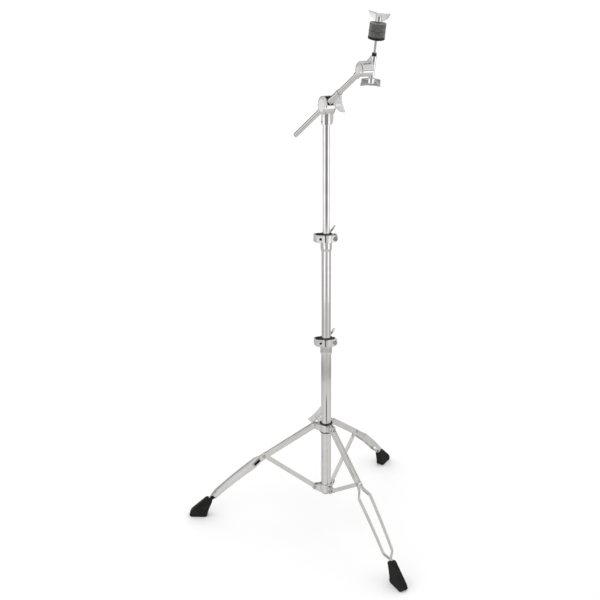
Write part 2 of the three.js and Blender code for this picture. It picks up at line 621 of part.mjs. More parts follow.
function rodParts(rod) {
  add(rod, 'cymbal_rod', round(ROD_R, -38, 118, SMALL_ROUND), DULL_STEEL);
  const nutBore = ROD_R + GAP;
  const lower = wingHead({
    span: 48, low: 3.4, high: 21, inset: 1.6, hub: 7, hubHeight: 14, thick: 4.4, depth: 19.4,
  });
  const lowerMesh = add(rod, 'tilter_wing_nut', lower.rotateX(Math.PI).rotateZ(-18 * DEG), CHROME);
  lowerMesh.position.z = -19.2;
  const lockNut = carve([round(6.4, 32.5, 38.5, 6)], [round(nutBore, 30, 45, SMALL_ROUND)]);
  add(rod, 'rod_lock_nut', lockNut, BLACK_STEEL);
  const cup = carve([turn([
    [0, FELT_BOTTOM - 3.4], [16, FELT_BOTTOM - 3.4], [FELT_R, FELT_BOTTOM - 1.8], [FELT_R, CUP_RIM],
    [CUP_BORE, CUP_RIM], [CUP_BORE, FELT_BOTTOM - GAP], [0, FELT_BOTTOM - GAP],
  ])], [round(nutBore, 0, 200, SMALL_ROUND)]);
  add(rod, 'cup_washer', cup, BLACK_STEEL);
  const feltTop = FELT_BOTTOM + 2 * FELT_HEIGHT + GAP;
  const sleeve = ring(nutBore, 4.4, FELT_BOTTOM, feltTop - 1, SMALL_ROUND);
  add(rod, 'felt_sleeve', sleeve, NYLON);
  const lowerTop = FELT_BOTTOM + FELT_HEIGHT;
  const seated = CUP_BORE - GAP;
  add(rod, 'felt_lower', turn([
    [4.7, FELT_BOTTOM], [seated, FELT_BOTTOM], [seated, CUP_RIM + GAP], [FELT_R, CUP_RIM + GAP],
    [FELT_R, lowerTop - 1], [FELT_R - 1, lowerTop], [4.7, lowerTop], [4.7, FELT_BOTTOM],
  ]), FELT);
  const upperLow = lowerTop + GAP;
  add(rod, 'felt_upper', turn([
    [4.7, upperLow], [FELT_R - 1, upperLow], [FELT_R, upperLow + 1], [FELT_R, feltTop - 1.5],
    [FELT_R - 1.5, feltTop], [4.7, feltTop], [4.7, upperLow],
  ]), FELT);
  const upper = wingHead({
    span: 53, low: 9, high: 22.4, inset: 5.3, hub: 6.8, hubHeight: 15.5, thick: 3.6, depth: 10.6,
  });
  const mesh = add(rod, 'cymbal_wing_nut', upper.rotateZ(-48 * DEG), CHROME);
  mesh.position.z = feltTop + 2;
}

// ---- assembly ---------------------------------------------------------------------------------

LEG_AZIMUTHS.forEach(leg);
legCollar();
bottomCollar();
mastTubes();
clamp({ label: 'lower', blockZ: LOWER_BLOCK_Z, sleeveLow: 520.5, lowerR: BASE_R, upperR: MID_R });
clamp({ label: 'upper', blockZ: UPPER_BLOCK_Z, sleeveLow: 816, lowerR: MID_R, upperR: TOP_R });
boomTilter();

stand.updateMatrixWorld(true);
const bounds = new THREE.Box3().setFromObject(stand, true);
const middle = bounds.getCenter(new THREE.Vector3());
stand.position.set(-middle.x, -middle.y, -bounds.min.z);

export default stand;
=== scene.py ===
"""The looks of a cymbal boom stand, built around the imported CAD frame.

Every CAD node is replaced by a finer piece in the same place: turned parts get rounded rims, castings get
soft cast edges, and each material is procedural. Shapes are written in millimetres in a local frame that
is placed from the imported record's joints and boxes, and are scaled to metres as they are placed.
"""

import json
import math

import bmesh
import bpy
from mathutils import Matrix, Vector, noise

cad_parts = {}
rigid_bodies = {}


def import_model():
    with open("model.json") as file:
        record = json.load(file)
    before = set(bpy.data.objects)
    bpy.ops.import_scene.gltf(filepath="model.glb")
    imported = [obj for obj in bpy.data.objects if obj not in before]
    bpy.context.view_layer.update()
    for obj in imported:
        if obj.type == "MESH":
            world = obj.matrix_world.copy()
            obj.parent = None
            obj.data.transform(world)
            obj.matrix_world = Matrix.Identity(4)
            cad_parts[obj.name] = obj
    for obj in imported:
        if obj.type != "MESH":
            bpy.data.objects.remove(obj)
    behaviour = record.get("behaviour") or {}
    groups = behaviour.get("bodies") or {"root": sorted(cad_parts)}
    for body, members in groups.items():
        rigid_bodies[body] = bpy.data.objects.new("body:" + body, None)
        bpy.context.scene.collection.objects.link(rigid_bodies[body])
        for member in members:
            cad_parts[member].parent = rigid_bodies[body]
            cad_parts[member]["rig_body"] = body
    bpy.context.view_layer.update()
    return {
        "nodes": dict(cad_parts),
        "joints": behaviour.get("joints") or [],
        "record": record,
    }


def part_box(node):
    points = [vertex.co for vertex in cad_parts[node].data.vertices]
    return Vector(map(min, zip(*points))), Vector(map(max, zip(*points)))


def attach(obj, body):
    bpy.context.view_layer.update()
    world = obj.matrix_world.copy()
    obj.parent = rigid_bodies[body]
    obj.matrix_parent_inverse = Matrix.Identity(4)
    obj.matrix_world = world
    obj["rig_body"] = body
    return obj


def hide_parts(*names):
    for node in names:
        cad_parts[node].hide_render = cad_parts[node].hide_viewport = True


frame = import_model()

MM = 0.001
GAP = 0.3
JOINTS = {joint["name"]: joint for joint in frame["joints"]}
SLOTS = {entry["node"]: entry["material_slot"] for entry in frame["record"]["subparts"]}
COLOURS = {entry["slot"]: entry["base_color"][:3] for entry in frame["record"]["materials"]}

# ---- places ---------------------------------------------------------------------------------------


def at_mm(point):
    return Vector(point) / MM


def size_of(node):
    """Lowest and highest corner of a node, in millimetres."""
    low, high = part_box(node)
    return at_mm(low), at_mm(high)


def place(origin, z_axis, x_hint):
    """A frame with its origin in millimetres, its Z along z_axis and its X as near x_hint as it can be."""
    z = Vector(z_axis).normalized()
    x = Vector(x_hint)
    x = (x - z * x.dot(z)).normalized()
    y = z.cross(x)
    matrix = Matrix((x, y, z)).transposed().to_4x4()
    matrix.translation = origin
    return matrix


def joint_at(name):
    return at_mm(JOINTS[name]["pos_m"])


def joint_axis(name):
    return Vector(JOINTS[name]["axis"])


UP = Vector((0, 0, 1))
BASE_LOW, BASE_HIGH = size_of("base_tube")
MID_LOW, MID_HIGH = size_of("middle_tube")
TOP_LOW, TOP_HIGH = size_of("top_tube")
MAST = Vector(((BASE_LOW.x + BASE_HIGH.x) / 2, (BASE_LOW.y + BASE_HIGH.y) / 2, 0))
BASE_R = (BASE_HIGH.x - BASE_LOW.x) / 2
MID_R = (MID_HIGH.x - MID_LOW.x) / 2
TOP_R = (TOP_HIGH.x - TOP_LOW.x) / 2
WALL = 1.2

# The leg linkage, read in the plane of the first leg: distance from the mast, then height.
FOLD_AT, KNEE_AT, COLLAR_AT = (joint_at(name) - MAST for name in ("fold", "knee_1", "collar_lift"))
PIVOT_RADIUS = FOLD_AT.to_2d().length
BOTTOM_PIVOT_Z = FOLD_AT.z
KNEE_RADIUS = KNEE_AT.to_2d().length
KNEE_Z = KNEE_AT.z
COLLAR_PIVOT_Z = COLLAR_AT.z


def leg_place(index):
    """The frame of a leg: X outwards from the mast, Z up from the floor."""
    name = "fold" if index == 1 else f"brace_{index}_fold"
    outwards = joint_at(name) - MAST
    return place(MAST, UP, (outwards.x, outwards.y, 0))


MAST_PLACE = place(MAST, UP, (1, 0, 0))
DRUM_AXIS = -joint_axis("boom_tilt")
DRUM_PLACE = place(joint_at("boom_tilt"), UP, DRUM_AXIS)
ARM_AXIS = joint_axis("arm_slide")
ARM_PLACE = place(joint_at("boom_tilt"), ARM_AXIS, DRUM_AXIS)
HUB_PLACE = place(joint_at("cymbal_tilt"), UP, DRUM_AXIS)
ROD_AXIS = joint_axis("top_nut_turn")
ROD_PLACE = place(joint_at("top_nut_turn"), ROD_AXIS, DRUM_AXIS)
HUB_ALONG_ARM = (joint_at("cymbal_tilt") - joint_at("boom_tilt")).length
ROD_OFFSET = (joint_at("top_nut_turn") - joint_at("cymbal_tilt")).length
ROD_LEAN = math.acos(ROD_AXIS.z)
BOOM_TILT = math.degrees(math.asin(ARM_AXIS.z))

# ---- shapes: lists of points and faces, in millimetres --------------------------------------------

ROUND = 72  # facets round a turned piece


def moved(shape, matrix):
    points, faces = shape
    return [matrix @ Vector(point) for point in points], faces


def turned_to(shape, axis, degrees):
    return moved(shape, Matrix.Rotation(math.radians(degrees), 4, axis))


def shifted(shape, x=0.0, y=0.0, z=0.0):
    return moved(shape, Matrix.Translation((x, y, z)))


def along_x(shape):
    return turned_to(shape, "Y", 90)


def along_y(shape):
    return turned_to(shape, "X", -90)


def softened(profile, radius, steps=4, closed=False):
    """A profile with each corner rounded, by a curve that starts and ends radius from the corner."""
    points = [Vector(point) for point in profile]
    count = len(points)
    result = []
    for i, corner in enumerate(points):
        if not closed and i in (0, count - 1):
            result.append(corner)
            continue
        before, after = points[i - 1] - corner, points[(i + 1) % count] - corner
        reach_in = min(radius, before.length * 0.48)
        reach_out = min(radius, after.length * 0.48)
        start = corner + before.normalized() * reach_in
        end = corner + after.normalized() * reach_out
        for k in range(steps + 1):
            t = k / steps
            result.append(start * (1 - t) ** 2 + corner * 2 * t * (1 - t) + end * t ** 2)
    return result


def lathe(profile, facets=ROUND, closed=False):
    """A profile of (radius, height) points turned about Z. An open one starts and ends on the axis."""
    points, faces, rings = [], [], []
    for radius, height in profile:
        if radius < 1e-6:
            rings.append([len(points)] * facets)
            points.append(Vector((0, 0, height)))
            continue
        rings.append([len(points) + k for k in range(facets)])
        for k in range(facets):
            angle = 2 * math.pi * k / facets
            points.append(Vector((radius * math.cos(angle), radius * math.sin(angle), height)))
    pairs = list(zip(rings, rings[1:] + rings[:1])) if closed else list(zip(rings, rings[1:]))
    for low, high in pairs:
        for k in range(facets):
            n = (k + 1) % facets
            corners = []
            for index in (low[k], low[n], high[n], high[k]):
                if index not in corners:
                    corners.append(index)
            if len(corners) > 2:
                faces.append(corners)
    return points, faces


def skin(rows, count):
    """The faces over rows of count points each, closed round and capped at both ends."""
    faces = []
    for row in range(rows - 1):
        below, above = row * count, (row + 1) * count
        for k in range(count):
            n = (k + 1) % count
            faces.append([below + k, below + n, above + n, above + k])
    return [*faces, list(range(count)), list(range((rows - 1) * count, rows * count))]


def pole(radius, low, high, facets=ROUND):
    return lathe([(0, low), (radius, low), (radius, high), (0, high)], facets)


def soft_pole(radius, low, high, soft=0.5, facets=ROUND):
    return lathe(softened([(0, low), (radius, low), (radius, high), (0, high)], soft), facets)


def soft_ring(inner, outer, low, high, soft=0.4, facets=ROUND):
    corners = [(inner, low), (outer, low), (outer, high), (inner, high)]
    return lathe(softened(corners, soft, closed=True), facets, closed=True)


def prism(outline, low, high):
    """An outline in XY pushed from low to high along Z."""
    count = len(outline)
    points = [Vector((x, y, z)) for z in (low, high) for x, y in outline]
    faces = [list(range(count))[::-1], list(range(count, 2 * count))]
    for k in range(count):
        n = (k + 1) % count
        faces.append([k, n, count + n, count + k])
    return points, faces


def plate(outline, half):
    """An outline in XZ pushed along Y, between -half and half."""
    return turned_to(prism(outline, -half, half), "X", 90)


def block(xs, ys, zs):
    return prism([(xs[0], ys[0]), (xs[1], ys[0]), (xs[1], ys[1]), (xs[0], ys[1])], *zs)


def arc(centre, radius, start, end, steps=16):
    angles = [math.radians(start + (end - start) * k / steps) for k in range(steps + 1)]
    return [(centre[0] + radius * math.cos(a), centre[1] + radius * math.sin(a)) for a in angles]


def joined(*shapes):
    points, faces = [], []
    for shape_points, shape_faces in shapes:
        faces += [[index + len(points) for index in face] for face in shape_faces]
        points += shape_points
    return points, faces


def mesh_of(name, shape):
    """A mesh with its faces turned outwards."""
    points, faces = shape
    mesh = bpy.data.meshes.new(name)
    mesh.from_pydata([tuple(point) for point in points], [], faces)
    mesh.validate()
    work = bmesh.new()
    work.from_mesh(mesh)
    bmesh.ops.remove_doubles(work, verts=work.verts, dist=1e-4)
    bmesh.ops.recalc_face_normals(work, faces=work.faces)
    work.to_mesh(mesh)
    work.free()
    return mesh


def new_object(name, data):
    thing = bpy.data.objects.new(name, data)
    bpy.context.scene.collection.objects.link(thing)
    return thing


def worked(mesh, modifiers):
    """The mesh with modifiers applied, each given as (type, settings)."""
    thing = new_object("work", mesh)
    for kind, settings in modifiers:
        modifier = thing.modifiers.new(kind, kind)
        for key, value in settings.items():
            setattr(modifier, key, value)
    evaluated = thing.evaluated_get(bpy.context.evaluated_depsgraph_get())
    result = bpy.data.meshes.new_from_object(evaluated)
    bpy.data.objects.remove(thing)
    return result


def boolean(body, tool_shape, operation, **settings):
    tool = new_object("tool", mesh_of("tool", tool_shape))
    settings = {"operation": operation, "solver": "EXACT", **settings, "object": tool}
    result = worked(body, [("BOOLEAN", settings)])
    bpy.data.objects.remove(tool)
    return result


def cut_mesh(solids, cuts):
    """One mesh from overlapping closed solids, with the cuts taken away."""
    body = mesh_of("body", joined(*solids))
    return boolean(body, joined(*cuts), "DIFFERENCE", use_self=True) if cuts else body


def cast(solids, cuts=(), voxel=0.5, rounds=8):
    """A casting: solids joined and cut, then remeshed and smoothed until its edges are softly rounded."""
    body = cut_mesh(solids, list(cuts))
    return worked(body, [
        ("REMESH", {"mode": "VOXEL", "voxel_size": voxel, "use_smooth_shade": True}),
        ("SMOOTH", {"factor": 0.5, "iterations": rounds}),
    ])


# ---- materials ------------------------------------------------------------------------------------


def add_node(tree, kind, output, inputs=(), **settings):
    """The output of a new node whose inputs are linked to other outputs or set to values."""
    node = tree.nodes.new("ShaderNode" + kind)
    for name, value in settings.items():
        setattr(node, name, value)
    for name, value in dict(inputs).items():
        if isinstance(value, bpy.types.NodeSocket):
            tree.links.new(value, node.inputs[name])
        else:
            node.inputs[name].default_value = value
    return node.outputs[output]


class Paint:
    """A Principled material under construction, with short names for the nodes that it uses."""

    def __init__(self, name, colour, roughness, metallic=0.0):
        self.material = bpy.data.materials.new(name)
        self.material.use_nodes = True
        self.tree = self.material.node_tree
        self.shader = self.tree.nodes["Principled BSDF"]
        self.shader.inputs["Base Color"].default_value = (*colour, 1)
        self.shader.inputs["Roughness"].default_value = roughness
        self.shader.inputs["Metallic"].default_value = metallic
        self.place = add_node(self.tree, "TexCoord", "Object")

    def noise(self, scale, detail=3.0, stretch=(1, 1, 1)):
        place = add_node(self.tree, "Mapping", "Vector", {"Scale": stretch, "Vector": self.place})
        inputs = {"Scale": scale, "Detail": detail, "Vector": place}
        return add_node(self.tree, "TexNoise", "Fac", inputs)

    def spots(self, scale):
        return add_node(self.tree, "TexVoronoi", "Distance", {"Scale": scale, "Vector": self.place})

    def worn_edges(self):
        return add_node(self.tree, "NewGeometry", "Pointiness")

    def ranged(self, value, low, high, start=0.0, end=1.0):
        inputs = {"From Min": start, "From Max": end, "To Min": low, "To Max": high, "Value": value}
        return add_node(self.tree, "MapRange", "Result", inputs)

    def added(self, first, second, operation="ADD"):
        return add_node(self.tree, "Math", "Value", {0: first, 1: second}, operation=operation)

    def between(self, value, dark, light):
        inputs = {"A": (*dark, 1), "B": (*light, 1), "Factor": value}
        return add_node(self.tree, "Mix", "Result", inputs, data_type="RGBA")

    def colour(self, source):
        self.tree.links.new(source, self.shader.inputs["Base Color"])

    def mottled(self, value, colour, dark, light):
        """The colour, darker and lighter with a noise value."""
        spread = self.ranged(value, 0, 1, 0.35, 0.65)
        self.colour(self.between(spread, tinted(colour, dark), tinted(colour, light)))

    def roughness(self, source):
        self.tree.links.new(source, self.shader.inputs["Roughness"])

    def bump(self, source, distance, strength=1.0):
        inputs = {"Strength": strength, "Distance": distance, "Height": source}
        normal = add_node(self.tree, "Bump", "Normal", inputs)
        self.tree.links.new(normal, self.shader.inputs["Normal"])


WORN_GREY = (0.22, 0.22, 0.22)
DUST = (0.03, 0.029, 0.027)


def tinted(colour, factor):
    return tuple(min(1.0, channel * factor) for channel in colour)


def chrome_material():
    """Bright chrome with faint cloudy smudges, fine polishing lines and a hint of plating ripple."""
    colour = COLOURS["chrome"]
    paint = Paint("chrome", colour, 0.1, 1.0)
    smudge = paint.noise(28, 4)
    paint.mottled(smudge, colour, 0.95, 1.03)
    fine = paint.noise(900, 2)
    paint.roughness(paint.added(paint.ranged(smudge, 0.05, 0.12, 0.3, 0.7), paint.ranged(fine, 0, 0.03)))
    paint.bump(paint.noise(160, 2), 0.00003, 0.35)
    return paint.material


def dull_steel_material():
    """Nickel-grey plating with brushing along each piece."""
    colour = COLOURS["dull_steel"]
    paint = Paint("dull_steel", colour, 0.28, 1.0)
    brushed = paint.noise(220, 3, (1, 1, 9))
    paint.mottled(brushed, colour, 0.82, 1.08)
    paint.roughness(paint.ranged(brushed, 0.2, 0.36, 0.3, 0.7))
    paint.bump(brushed, 0.00005, 0.4)
    return paint.material


def black_steel_material():
    """Black oxide, a little shiny, rubbed grey on its edges."""
    colour = COLOURS["black_steel"]
    paint = Paint("black_steel", colour, 0.35, 0.6)
    wear = paint.added(paint.ranged(paint.worn_edges(), 0, 1, 0.53, 0.62), paint.noise(400, 3), "MULTIPLY")
    paint.colour(paint.between(paint.ranged(wear, 0, 0.7, 0.2, 0.8), colour, WORN_GREY))
    paint.roughness(paint.ranged(paint.noise(350, 3), 0.28, 0.45, 0.3, 0.7))
    paint.bump(paint.noise(700, 2), 0.00003, 0.5)
    return paint.material


def nylon_material():
    """Black moulded nylon with a fine satin grain."""
    colour = COLOURS["nylon"]
    paint = Paint("nylon", colour, 0.4)
    grain = paint.noise(1500, 3)
    paint.colour(paint.between(paint.noise(60, 3), tinted(colour, 0.8), tinted(colour, 1.5)))
    paint.roughness(paint.ranged(grain, 0.32, 0.5, 0.3, 0.7))
    paint.bump(grain, 0.00004, 0.5)
    return paint.material


def rubber_material():
    """Black moulded rubber: a matt pebbled skin with a little dust, and rubbed edges."""
    colour = COLOURS["rubber"]
    paint = Paint("rubber", colour, 0.7)
    paint.shader.inputs["Specular IOR Level"].default_value = 0.2
    dust = paint.noise(90, 4)
    rubbed = paint.ranged(paint.worn_edges(), 0, 0.6, 0.52, 0.6)
    dusty = paint.added(rubbed, paint.ranged(dust, 0, 0.6, 0.45, 0.75))
    paint.colour(paint.between(dusty, tinted(colour, 0.6), DUST))
    paint.roughness(paint.ranged(dust, 0.55, 0.8, 0.3, 0.7))
    pebble = paint.added(paint.ranged(paint.spots(1400), 0, 0.6), paint.noise(700, 3))
    paint.bump(pebble, 0.00012, 0.6)
    return paint.material


def felt_material():
    """Pressed wool felt: mottled grey fibres, soft sheen and a fuzzy surface."""
    colour = COLOURS["felt"]
    paint = Paint("felt", colour, 0.95)
    fibres = paint.added(paint.noise(650, 5, (1, 1, 0.35)), paint.noise(240, 4, (0.4, 1, 1)))
    mottled = paint.ranged(fibres, 0, 1, 0.75, 1.25)
    paint.colour(paint.between(mottled, tinted(colour, 0.34), tinted(colour, 1.12)))
    paint.shader.inputs["Sheen Weight"].default_value = 0.35
    paint.shader.inputs["Sheen Roughness"].default_value = 0.6
    paint.bump(fibres, 0.0006, 0.8)
    return paint.material


MATERIALS = {
    "chrome": chrome_material(),
    "dull_steel": dull_steel_material(),
    "black_steel": black_steel_material(),
    "nylon": nylon_material(),
    "rubber": rubber_material(),
    "felt": felt_material(),
}

# ---- pieces ---------------------------------------------------------------------------------------


def dress(node, mesh, matrix, name=None, slot=None):
    """Puts a finished mesh where the CAD node is, on the same body."""
    name, slot = name or node, slot or SLOTS[node]
    mesh.transform(Matrix.Scale(MM, 4) @ matrix)
    mesh.name = name + "_mesh"
    mesh.materials.clear()
    mesh.materials.append(MATERIALS[slot])
    mesh.shade_smooth()
    piece = new_object(name + "_skin", mesh)
    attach(piece, frame["nodes"][node]["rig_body"])
    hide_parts(node)
    return piece


def weighted(piece):
    """Keeps flat faces flat beside the rounded rims."""
    piece.modifiers.new("normals", "WEIGHTED_NORMAL").weight = 80
    return piece


def dress_turned(node, shape, matrix):
    return weighted(dress(node, mesh_of(node, shape), matrix))


def bevelled(solids, cuts=(), width=0.5, segments=3):
    """A machined piece: solids joined and cut, with small even bevels."""
    bevel = {"width": width, "segments": segments, "limit_method": "ANGLE", "angle_limit": math.radians(40)}
    return worked(cut_mesh(solids, list(cuts)), [("BEVEL", bevel)])


# Tubes and the plugs in their ends.


def tubes():
    dress_turned("base_tube", soft_ring(BASE_R - WALL, BASE_R, BASE_LOW.z, BASE_HIGH.z), MAST_PLACE)
    dress_turned("middle_tube", soft_ring(MID_R - WALL, MID_R, MID_LOW.z, MID_HIGH.z), MAST_PLACE)
    dress_turned("top_tube", soft_ring(TOP_R - WALL, TOP_R, TOP_LOW.z, TOP_HIGH.z), MAST_PLACE)
    low, high = size_of("base_end_plug")
    rim = (high.x - low.x) / 2
    profile = [
        (0, low.z), (rim - 4, low.z), (rim, low.z + 2.6), (rim, BASE_LOW.z - GAP), (12.6, BASE_LOW.z - GAP),
        (12.6, high.z), (0, high.z),
    ]
    dress_turned("base_end_plug", lathe(softened(profile, 0.8)), MAST_PLACE)


# Tripod.

STRIP = 2
STRIP_END_R = 8
KNEE_DROP = 2
SHOULDER = Vector((285.2, 117.5))
ANKLE = Vector((341, 56))
TOE = Vector((350.6, 45.4))
PAIR_OFFSET = 5.2
LOOP_OFFSET = 18
LOOP_END_OFFSET = 14
TOE_OFFSET = 1.5
KNEE_STATION = 60


def leg_points():
    """The strips' centreline, closely spaced: straight to the knee, then an arch down to the foot."""
    top = Vector((PIVOT_RADIUS, COLLAR_PIVOT_Z))
    knee = Vector((KNEE_RADIUS, KNEE_Z - KNEE_DROP))
    start = top - (knee - top).normalized() * 8
    points = [start.lerp(knee, k / KNEE_STATION) for k in range(KNEE_STATION)]
    for k in range(140):
        t = k / 140
        points.append(knee * (1 - t) ** 2 + SHOULDER * 2 * t * (1 - t) + ANKLE * t ** 2)
    points += [ANKLE.lerp(TOE, k / 6) for k in range(7)]
    return points


def straight(pairs, at):
    """The value at a distance on straight lines between (distance, value) pairs."""
    for (start, low), (end, high) in zip(pairs, pairs[1:]):
        if at <= end:
            return low + (high - low) * max(0.0, (at - start) / (end - start))
    return pairs[-1][1]


def bent(pairs, at, radius=2.5):
    """The same with its corners rounded, as a folded bar's are."""
    return sum(straight(pairs, at + radius * (k - 3) / 3) for k in range(7)) / 7


def strip_section(half_width, half_thick):
    """A flat bar's section with full round edges and a slight crown."""
    edge = half_thick * 0.95
    outline = []
    for side, start in ((1, -90), (-1, 90)):
        for k in range(7):
            angle = math.radians(start + 30 * k)
            across = side * (half_width - edge) + edge * math.cos(angle)
            outline.append((across, half_thick * math.sin(angle)))
        outline.append((0, side * half_thick))
    return outline


def leg_strip(side):
    points = leg_points()
    distance = [0.0]
    for first, second in zip(points, points[1:]):
        distance.append(distance[-1] + (second - first).length)
    length, knee = distance[-1], distance[KNEE_STATION]
    offsets = [
        (0, PAIR_OFFSET), (knee + 14, PAIR_OFFSET), (knee + 37, LOOP_OFFSET),
        (length - 36, LOOP_END_OFFSET), (length - 19, TOE_OFFSET), (length, TOE_OFFSET),
    ]
    widths = [(0, 8), (knee + 14, 8), (knee + 37, 7.8), (length, 6.8)]
    centres = [Vector((p.x, side * bent(offsets, d), p.y)) for p, d in zip(points, distance)]
    vertices = []
    for k, (centre, at) in enumerate(zip(centres, distance)):
        after, before = centres[min(k + 1, len(centres) - 1)], centres[max(k - 1, 0)]
        tangent = (after - before).normalized()
        across = Vector((-tangent.z, 0, tangent.x)).normalized()
        thick = tangent.cross(across).normalized()
        half = bent(widths, at)
        if at < STRIP_END_R:
            half = max(1.2, math.sqrt(max(0.0, STRIP_END_R ** 2 - (STRIP_END_R - at) ** 2)))
        section = strip_section(half, STRIP / 2)
        vertices += [centre + across * a + thick * b for a, b in section]
    return vertices, skin(len(centres), len(section))


FOOT_HALF = 12
FOOT_TAPER = 0.42
FOOT_TOP = 62


def foot_shape():
    """The rubber foot's side outline pushed out sideways, narrowing towards the top."""
    outline = softened([
        (335.5, 50), (337.5, 54), (351.5, 61), (356.5, 59), (400, 18.5), (405, 9.5), (404, 3), (399.5, 0),
        (357.5, 0), (352, 3.5), (349.5, 17),
    ], 2.5, closed=True)
    points, faces = plate([tuple(p) for p in outline], FOOT_HALF)
    narrowed = []
    for point in points:
        share = min(1, max(0, point.z / FOOT_TOP))
        narrowed.append(Vector((point.x, point.y * (1 - FOOT_TAPER * share), point.z)))
    return narrowed, faces


def foot_mesh():
    """The foot with a slot for the strips, and ribs moulded along its length."""
    down = (TOE - ANKLE).normalized()
    slot = block((-14, 15), (-TOE_OFFSET - STRIP / 2 - 0.6, TOE_OFFSET + STRIP / 2 + 0.6), (-7.3, 7.3))
    slot = shifted(turned_to(slot, "Y", -math.degrees(math.atan2(down.y, down.x))), ANKLE.x, 0, ANKLE.y)
    mesh = cast([foot_shape()], [slot], 0.8, 6)
    axis = Vector((0.68, 0, -0.73))  # down the foot's sloping back
    heel = Vector((342, 0, 54))
    rib = 4.6
    for vertex in mesh.vertices:
        sideways = abs(vertex.normal.y)
        down_foot = (vertex.co - heel).dot(axis)
        level = vertex.co.z
        if level < 4 or down_foot < 5:
            continue
        phase = (down_foot / rib) % 1.0
        groove = max(0.0, 1 - abs(phase - 0.5) / 0.22)
        fade = min(1, (down_foot - 5) / 3) * min(1, (level - 4) / 3) * (0.35 + 0.65 * sideways)
        vertex.co -= vertex.normal * 0.75 * groove * fade
    return mesh


def brace_mesh():
    """A flat bar with round ends and a shallow rolled channel along each face."""
    length = math.hypot(KNEE_RADIUS - PIVOT_RADIUS, KNEE_Z - BOTTOM_PIVOT_Z)
    half_height, half = 5.6, 3.7
    outline = arc((length, 0), half_height, -90, 90) + arc((0, 0), half_height, 90, 270)
    grooves = []
    for side in (-1, 1):
        groove_line = arc((length - 14, 0), 2.2, -90, 90, 8) + arc((14, 0), 2.2, 90, 270, 8)
        grooves.append(shifted(plate(groove_line, 1), y=side * (half + 0.5)))
    holes = [shifted(along_y(pole(3.3, -30, 30, 32)), x=x) for x in (0, length)]
    mesh = bevelled([plate(outline, half)], grooves + holes, 0.6)
    rise = math.degrees(math.atan2(KNEE_Z - BOTTOM_PIVOT_Z, KNEE_RADIUS - PIVOT_RADIUS))
    shift = Matrix.Translation((PIVOT_RADIUS, 0, BOTTOM_PIVOT_Z))
    mesh.transform(shift @ Matrix.Rotation(math.radians(-rise), 4, "Y"))
    return mesh


def rivet_shape(half_length, head_r=4.8, head=1.6):
    """A rivet with a low dome outside each ear."""
    shank = half_length - head
    turns = [math.radians(9 * k) for k in range(11)]
    dome = [(head_r * math.cos(a), shank + head * math.sin(a)) for a in turns]
    upper = [(3, shank), (head_r - 0.1, shank)] + dome[:-1] + [(0, half_length)]
    lower = [(r, -z) for r, z in reversed(upper)]
    return along_y(lathe(lower + upper, 40))


def leg(index):
    spot = leg_place(index)
    for side, word in ((-1, "left"), (1, "right")):
        dress(f"leg_{index}_strip_{word}", mesh_of("strip", leg_strip(side)), spot)
    dress(f"leg_{index}_foot", foot_mesh(), spot)
    weighted(dress(f"leg_{index}_brace", brace_mesh(), spot))
    rivets = [
        ("collar", 11.6, PIVOT_RADIUS, COLLAR_PIVOT_Z), ("knee", 8.2, KNEE_RADIUS, KNEE_Z),
        ("brace", 9.2, PIVOT_RADIUS, BOTTOM_PIVOT_Z),
    ]
    for word, half_length, radius, height in rivets:
        rivet = shifted(rivet_shape(half_length), radius, 0, height)
        dress(f"leg_{index}_{word}_rivet", mesh_of("rivet", rivet), spot)


def collar_solids(low, high, pivot_z, inner, outer, body_r):
    """A collar's body with two ears for each leg, and the holes through the ears."""
    body = lathe(softened([(0, low), (body_r, low), (body_r, high), (0, high)], 1.6))
    solids, holes = [body], []
    for index in (1, 2, 3):
        turn = MAST_PLACE.inverted() @ leg_place(index)
        root = BASE_R + 2
        outline = [(root, low + 1), *arc((PIVOT_RADIUS, pivot_z), 7.6, -70, 75), (root, high - 1)]
        for side in (-1, 1):
            ear = shifted(plate(outline, (outer - inner) / 2), y=side * (inner + outer) / 2)
            solids.append(moved(ear, turn))
        holes.append(moved(shifted(along_y(pole(3.3, -30, 30, 24)), PIVOT_RADIUS, 0, pivot_z), turn))
    return solids, holes


def collars():
    low, high = size_of("bottom_collar")
    solids, holes = collar_solids(low.z, high.z, BOTTOM_PIVOT_Z, 4.2, 7.2, 18)
    mesh = cast(solids, [pole(BASE_R + GAP, low.z - 5, high.z + 5), *holes])
    dress("bottom_collar", mesh, MAST_PLACE)

    low, high = 283, 305.5
    solids, holes = collar_solids(low, high, COLLAR_PIVOT_Z, 6.6, 9.6, 18.6)
    bolt = COLLAR_BOLT_PLACE
    solids.append(moved(soft_pole(6.6, BASE_R + 2, 41, 0.8), bolt))
    cuts = [moved(pole(3.4, 8, 44), bolt), pole(BASE_R + GAP, low - 5, high + 5), *holes]
    cuts += [pole(BASE_R + 2.2, z, z + 14) for z in (high - 9, low - 5)]
    dress("leg_collar", cast(solids, cuts), MAST_PLACE)

    inner, sleeve_r, flange_r = BASE_R + GAP, BASE_R + 1.9, 18.4
    for word, face, outside, inside in (
        ("top", high + GAP, high + 3, high - 8), ("bottom", low - GAP, low - 2.6, low + 8),
    ):
        corners = [
            (inner, inside), (sleeve_r, inside), (sleeve_r, face), (flange_r, face), (flange_r, outside),
            (inner, outside),
        ]
        shape = lathe(softened(corners, 0.7, closed=True), closed=True)
        dress_turned(f"leg_collar_bushing_{word}", shape, MAST_PLACE)
    wing = wing_mesh(span=54, low=4, high=23, hub=5.8, hub_height=12, thick=4.6, bolt=23, turn=43, base=42)
    dress("leg_collar_wing_bolt", wing, MAST_PLACE @ bolt)


# Wing bolts and nuts.


